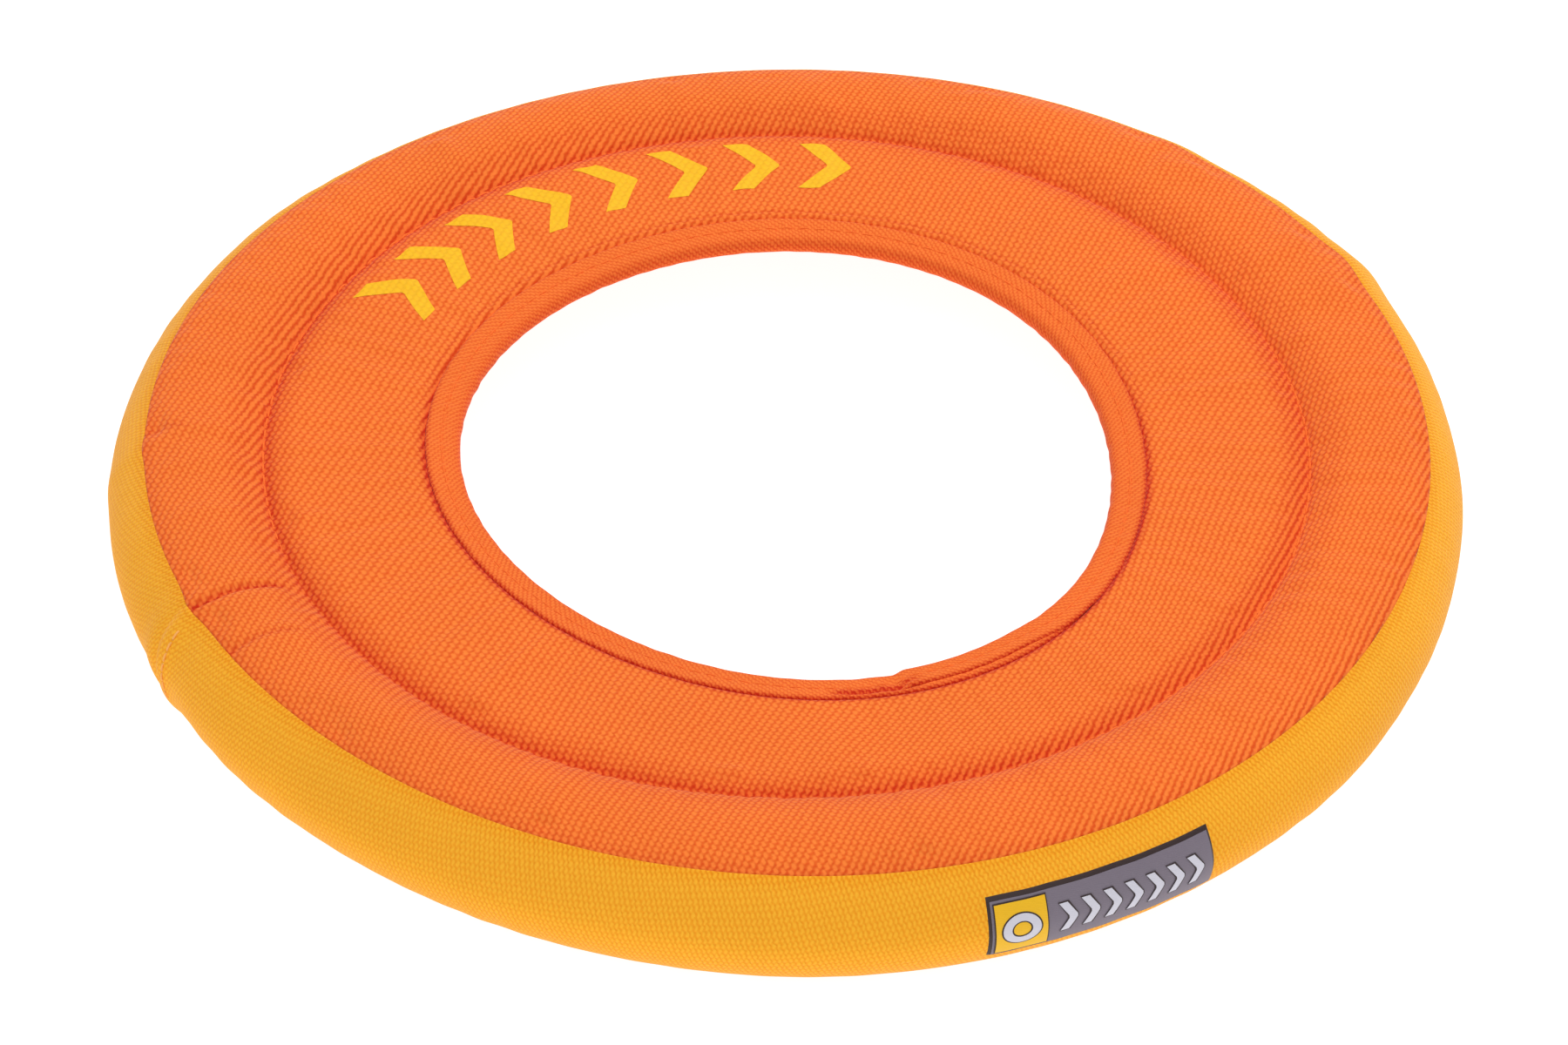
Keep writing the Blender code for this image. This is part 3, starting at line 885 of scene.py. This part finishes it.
def tape_section():
    """(offset from the hole's edge, height) along the tape, from its top edge over the fold to its
    lower edge, both edges turned in."""
    width = TAPE_OUT - HOLE
    fold = (TAPE_LEVEL - TAPE_UNDER) / 2
    middle = (TAPE_LEVEL + TAPE_UNDER) / 2
    edge = TAPE_LEVEL + TAPE_RISE
    line = [(width - 0.5, edge - 1.2), (width, edge - 0.55), (width - 0.15, edge - 0.12)]
    for x in np.linspace(width - 0.5, fold, 14):
        line.append((x, TAPE_LEVEL + TAPE_RISE * float(smooth(x, 1.0, width))))
    for angle in np.linspace(pi / 2, -pi / 2, 16)[1:-1]:
        line.append((fold - fold * cos(angle) ** 0.8, middle + fold * sin(angle)))
    line += [(x, TAPE_UNDER) for x in np.linspace(fold, width - 0.6, 8)]
    line.append((width - 0.15, TAPE_UNDER + 0.08))
    line += [(width + 0.06, TAPE_UNDER + 0.4), (width, TAPE_UNDER + 0.75)]
    return spaced(line, 56)


def tape_lift(bearing):
    """How far the tape's first end stands off, where it comes up over its last and runs along it,
    and how far it is set in towards the hole there."""
    past = bearing - TAPE_END
    emerge = smooth(past, 0, TAPE_EMERGE)
    lift = (1.12 * emerge - 0.12) * (1 - smooth(past, TAPE_LAP, TAPE_LAP + TAPE_CLIMB))
    inset = emerge * (1 - smooth(past, TAPE_LAP - 1.3 * TAPE_CLIMB, TAPE_LAP - 0.1 * TAPE_CLIMB))
    return lift, inset


def tape_point(section, bearing):
    """A place on the tape, from its (offset, height) and its bearing along the whole strip."""
    offset, height = section[..., 0], section[..., 1]
    middle = (TAPE_LEVEL + TAPE_UNDER) / 2
    width = TAPE_OUT - HOLE
    lift, inset = tape_lift(bearing)
    outward = np.where(height > middle, 1.0, -1.0) * smooth(np.abs(height - middle), 0.2, 1.2)
    height = height + 0.35 * lift * outward
    uneven = 0.05 * waves(41, bearing, offset, 30, 110, along_scale=0.5)
    ripple = 0.06 * waves(43, bearing, offset, 50, 140, along_scale=0.8)
    inset = inset * (0.4 + 0.6 * smooth(offset, 1.0, width - 1.0))
    radius = HOLE + offset - RIBBON * inset + uneven * (1 - inset)
    stretched = smooth(offset, 0.5, 3) * (1 - smooth(offset, 4.5, 6))
    row = bell(offset - (width - TAPE_ROW), 0.8)
    dimple = -0.08 * row * (0.5 + 0.5 * np.cos(TAPE_STITCHES * bearing))
    ribbon = -0.5 * before_tape_end(bearing) * bell(offset - (width - RIBBON), 0.34)
    return settle(radius, bearing, height + outward * (ripple * stretched + dimple + ribbon))


def make_hole_tape():
    """The tape folded over the hole's edge, its first end lapping over its last."""
    around = bearings(900, TAPE_END, TAPE_END + tau + TAPE_LAP)[:, None]
    section = tape_section()
    points = tape_point(section[None], around)
    made = grid_piece("hole_tape", points, TAPE)
    distance = arc_length(section)
    run = np.broadcast_to(around * (HOLE + 3), points.shape[:2])
    rise = np.broadcast_to(distance[None], points.shape[:2])
    note(made, "flat", flat_strip(run, rise))
    note(made, "rib", np.full(points.shape[:2], 0.1))
    # Painted shade, darker and redder: along the tape's outer edge (less on the far side), along its
    # fold line before the first end, and over the fold round the hole's wall.
    edge = 1.2 * (1 - smooth(distance, 0.7, 2.2)) * (1 - 0.7 * far_side(around))
    fold_line = 1.2 * before_tape_end(around) * bell(distance[None] - RIBBON - 1.3, 0.75)
    wall = 0.45 * bell(distance - distance[-1] * 0.5, 1.6)
    note(made, "painted_shade", np.clip(np.maximum(edge, fold_line) + wall[None], 0, 1.5))
    return made


# --------------------------------------------------------------------------------- foam and sewing


def make_foam():
    """The foam that fills the rim and pads the web, inside their cloth."""
    inset = 2.2
    top = [(r, float(top_height(np.array(r))) - inset) for r in np.linspace(WALL + 4, SEAM - 2.5, 10)]
    side = []
    for share in np.linspace(0.85, 0.12, 10):
        radius, height = band_section(share)
        side.append((radius - inset, height))
    sole = [(SOLE_SEAM - 6, 1.9), (WALL + HEEL + 2, 1.6), (WALL + 4, 4.0)]
    sole += [(WALL + inset, 8.0), (WALL + inset, 17.0)]
    rim = skin_of_section("rim_foam_ring", dense(top + side + sole + top[:1], 2.0), FOAM, 240)
    low, high = WEB_BOTTOM + 1.0, WEB_TOP - 1.0
    inner, outer = TAPE_OUT + 4, GROOVE - 5.5
    line = [(inner, low), (inner, high), (outer, high), (outer, low), (inner, low)]
    web = skin_of_section("web_foam_ring", dense(line, 2.0), FOAM, 240)
    return rim, web


def groove_surface(bearing, lift):
    shown = smooth(np.abs(np.sin(bearing + 0.35)), 0.6, 0.95)
    return top_point(np.full_like(bearing, GROOVE), bearing, lift - 0.32 + 0.3 * shown)


def groove_under(bearing, lift):
    return settle(GROOVE - 0.4, bearing, WEB_BOTTOM - 0.1 - lift)


def tape_row_line(bearing, height):
    """Where the row of stitches runs at a height on the tape, followed along the strip."""
    strip = np.where(bearing < TAPE_END, bearing + tau, bearing)
    offset = np.full_like(strip, TAPE_OUT - HOLE - TAPE_ROW)
    return tape_point(np.stack([offset, np.full_like(strip, height)], -1), strip)


def tape_row(bearing, lift):
    place = tape_row_line(bearing, TAPE_LEVEL + TAPE_RISE * 0.55)
    place[..., 2] += lift - 0.12
    return place


def tape_row_under(bearing, lift):
    place = tape_row_line(bearing, TAPE_UNDER)
    place[..., 2] -= lift + 0.08
    return place


def seam_surface(radius, height):
    """A row of closing stitches down in a seam's crease."""
    return lambda bearing, lift: settle(radius - 0.9 + 0.2 * lift, bearing, height)


def make_threads():
    """The six rows of sewing round the ring: each one's CAD node, surface, number of stitches, share
    of the pitch that shows, height, thread radius and thread."""
    top_seam = seam_surface(SEAM, SEAM_Z - 0.3)
    bottom_seam = seam_surface(SOLE_SEAM, SOLE_SEAM_Z + 0.1)
    for name, node, surface, count, share, height, radius, thread in (
        ("groove", "groove_needle", groove_surface, GROOVE_STITCHES, 0.97, 0.12, 0.2, ORANGE_THREAD),
        ("groove_under", "groove_bobbin", groove_under, GROOVE_STITCHES, 0.9, 0.1, 0.18, ORANGE_THREAD),
        ("tape", "binding_needle", tape_row, TAPE_STITCHES, 0.9, 0.1, 0.13, ORANGE_THREAD),
        ("tape_under", "binding_bobbin", tape_row_under, TAPE_STITCHES, 0.9, 0.1, 0.13, ORANGE_THREAD),
        ("top_seam", "top_seam", top_seam, SEAM_STITCHES, 0.8, 0.1, 0.18, TAN_THREAD),
        ("bottom_seam", "bottom_seam", bottom_seam, SEAM_STITCHES, 0.8, 0.1, 0.18, TAN_THREAD),
    ):
        made = stitch_row(f"{name}_stitches", surface, count, share, height, radius, thread)
        show(made, f"{node}_thread")


def make_joint_stitches():
    """The upright row of topstitching beside the band's joint."""
    count = 7
    along = np.linspace(-0.5, 0.5, 11)
    pitch = 0.64 / count
    share = 0.26 + (np.arange(count)[:, None] + 0.5 + along * 0.86) * pitch
    slant = (3.6 - JOINT_SLANT * (share - 0.5)) / RIM_OUT
    lift = -0.02 + 0.13 * (1 - np.abs(2 * along) ** 4) - 0.3 * np.abs(2 * along) ** 8
    paths = band_point(share, BAND_JOINT + slant, np.broadcast_to(lift, share.shape))
    return tubes("band_joint_stitches", paths, 0.2, TAN_THREAD)


# ------------------------------------------------------------------------------- print and label


def chevron(half_height, half_width, arm, columns=10, rows=24):
    """A chevron's points as (along, up) with its tip towards +along."""
    up = np.linspace(-half_height, half_height, rows)[None]
    across = np.linspace(-0.5, 0.5, columns)[:, None]
    centre = (half_width - arm / 2) * (1 - 2 * np.abs(up) / half_height)
    return centre + across * arm, np.broadcast_to(up, (columns, rows))


def make_print():
    """Eight chevrons pressed on the web, which point the way that the ring spins."""
    nodes = [f"print_mark_{i + 1}" for i in range(8)]
    centres = [(low + high) / 2 / MM for low, high in (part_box(node) for node in nodes)]
    row = sum(np.hypot(centre.x, centre.y) for centre in centres) / len(centres)
    for i, (node, centre) in enumerate(zip(nodes, centres)):
        bearing = np.arctan2(centre.x, -centre.y)
        along, up = chevron(6.7, 4.6, 4.1)
        radius = row + up
        around = bearing - along / row
        made = grid_piece(f"print_chevron_{i + 1}", top_point(radius, around, FILM_LIFT), PRINT)
        note(made, "flat", flat_ring(around, radius))
        no_ribs_or_shade(made)
        show(made, node)


def on_label(across, up, lift):
    """A place on the label from its own (across, up), in mm from its middle."""
    share = 0.5 + (up + LABEL_RAISE) / (SEAM_Z - SOLE_SEAM_Z)
    return band_point(share, LABEL + across / (RIM_OUT + 0.5), lift)


def label_patch(name, across, up, lift, material):
    points = on_label(across, up, lift)
    made = grid_piece(name, points, material)
    note(made, "flat", flat_strip(across, up))
    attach(made, "root")
    return made


def box_grid(left, right, low, high, columns, rows):
    across = np.linspace(left, right, columns)[:, None]
    up = np.linspace(low, high, rows)[None]
    return [np.array(a) for a in np.broadcast_arrays(across, up)]


def make_label():
    """The printed label: a dark edge, a grey face, a yellow panel with a plain ring, and bars."""
    half_long, half_high = LABEL_LENGTH / 2, LABEL_HEIGHT / 2
    across, up = box_grid(-half_long, half_long, -half_high, half_high, 96, 30)
    rim = np.minimum(half_long - np.abs(across), half_high - np.abs(up))
    lift = 0.34 * smooth(rim, -0.01, 0.3) + 0.03
    edge = label_patch("label_edge", across, up, lift, LABEL_DARK)
    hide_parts("side_label")
    inset = 0.5
    face_long, face_high = half_long - inset, half_high - inset
    across, up = box_grid(-face_long, face_long, -face_high, face_high, 90, 26)
    label_patch("label_face", across, up, 0.41, LABEL_GREY)
    left = inset + 0.6 - half_long
    size = 2 * (half_high - inset) - 1.0
    across, up = box_grid(left - 0.2, left + size + 0.2, -size / 2 - 0.2, size / 2 + 0.2, 24, 24)
    label_patch("label_panel_edge", across, up, 0.54, LABEL_DARK)
    across, up = box_grid(left, left + size, -size / 2, size / 2, 24, 24)
    label_patch("label_panel", across, up, 0.58, LABEL_YELLOW)
    angle = bearings(49, 0, tau)[:, None]
    for name, wide, narrow, lift, material in (
        ("label_ring_edge", 0.40, 0.17, 0.62, LABEL_DARK),
        ("label_ring", 0.37, 0.20, 0.66, LABEL_PALE),
    ):
        ring = np.linspace(narrow, wide, 6)[None] * size
        centre = left + size / 2
        label_patch(name, centre + ring * np.cos(angle), ring * np.sin(angle) * 0.8, lift, material)
    start = left + size + 1.8
    count = 7
    pitch = (half_long - inset - 1.4 - start) / count
    for i in range(count):
        middle = start + pitch * (i + 0.5)
        for name, grow, lift, material in (
            ("edge", 0.18, 0.54, LABEL_DARK),
            ("bar", 0.0, 0.58, LABEL_PALE),
        ):
            along, up = chevron(2.5 + grow, 1.6 + grow, 1.5 + 2.5 * grow, 6, 12)
            label_patch(f"label_{name}_{i + 1}", middle + along, up, lift, material)


# --------------------------------------------------------------------------- stage, light, camera


def make_floor():
    half = 3000.0
    drop = 0.05
    corners = [[-half, -half, -drop], [half, -half, -drop], [half, half, -drop], [-half, half, -drop]]
    graph = Graph("floor")
    graph.set(Base_Color=(0.36, 0.36, 0.36, 1), Roughness=0.9, Specular_IOR_Level=0.1)
    graph.set(Emission_Color=(1, 1, 1, 1), Emission_Strength=0.92)
    floor = piece("floor", np.array(corners), np.array([[0, 1, 2, 3]]), graph.material)


def make_lights():
    world = bpy.context.scene.world or bpy.data.worlds.new("studio")
    bpy.context.scene.world = world
    world.use_nodes = True
    background = world.node_tree.nodes["Background"]
    background.inputs["Color"].default_value = (1, 1, 1, 1)
    background.inputs["Strength"].default_value = 0.47
    for name, place, size, power in (
        ("key", (0.4, 0.6, 1.1), 0.7, 8.8),
        ("fill", (0.1, -1.0, 1.2), 1.2, 5.6),
        ("side", (-1.2, -0.3, 0.6), 0.8, 1.9),
    ):
        lamp = bpy.data.lights.new(name, "AREA")
        lamp.size = size
        lamp.energy = power
        light = bpy.data.objects.new(name, lamp)
        light.location = place
        light.rotation_euler = Vector(place).to_track_quat("Z", "Y").to_euler()
        bpy.context.scene.collection.objects.link(light)


def make_camera():
    """Looks down on the ring from 1.3 m, with the middle of the picture just nearer than its centre."""
    distance, elevation, roll = 1.3, radians(39.5), radians(1.0)
    centre = Vector((0, 0, MID * MM))
    back = Vector((0, -cos(elevation), sin(elevation)))
    right = Vector((1, 0, 0))
    up = back.cross(right)
    target = centre - right * 1.0 * MM - up * 5.6 * MM
    place = centre + back * distance
    look = (place - target).to_track_quat("Z", "Y").to_matrix()
    view = look @ Matrix.Rotation(roll, 3, "Z")
    lens = bpy.data.cameras.new("camera")
    lens.sensor_width = 36.0
    lens.lens = 175.8
    lens.clip_end = 20.0
    camera = bpy.data.objects.new("camera", lens)
    camera.matrix_world = Matrix.Translation(place) @ view.to_4x4()
    bpy.context.scene.collection.objects.link(camera)
    bpy.context.scene.camera = camera
    bpy.context.scene.view_settings.view_transform = "Standard"


# -------------------------------------------------------------------------------------- assembly


puckers = simulate_puckers()
show(make_top_cloth(), "top_panel")
show(make_side_band(), "side_band")
show(make_rim_underside(), "rim_underside_panel")
show(make_web_underside(), "web_underside_panel")
show(make_hole_tape(), "hole_binding")
rim_foam, web_foam = make_foam()
show(rim_foam, "rim_foam")
show(web_foam, "web_foam")
make_threads()
show(make_joint_stitches(), "band_seam_thread")
make_print()
make_label()
make_floor()
make_lights()
make_camera()
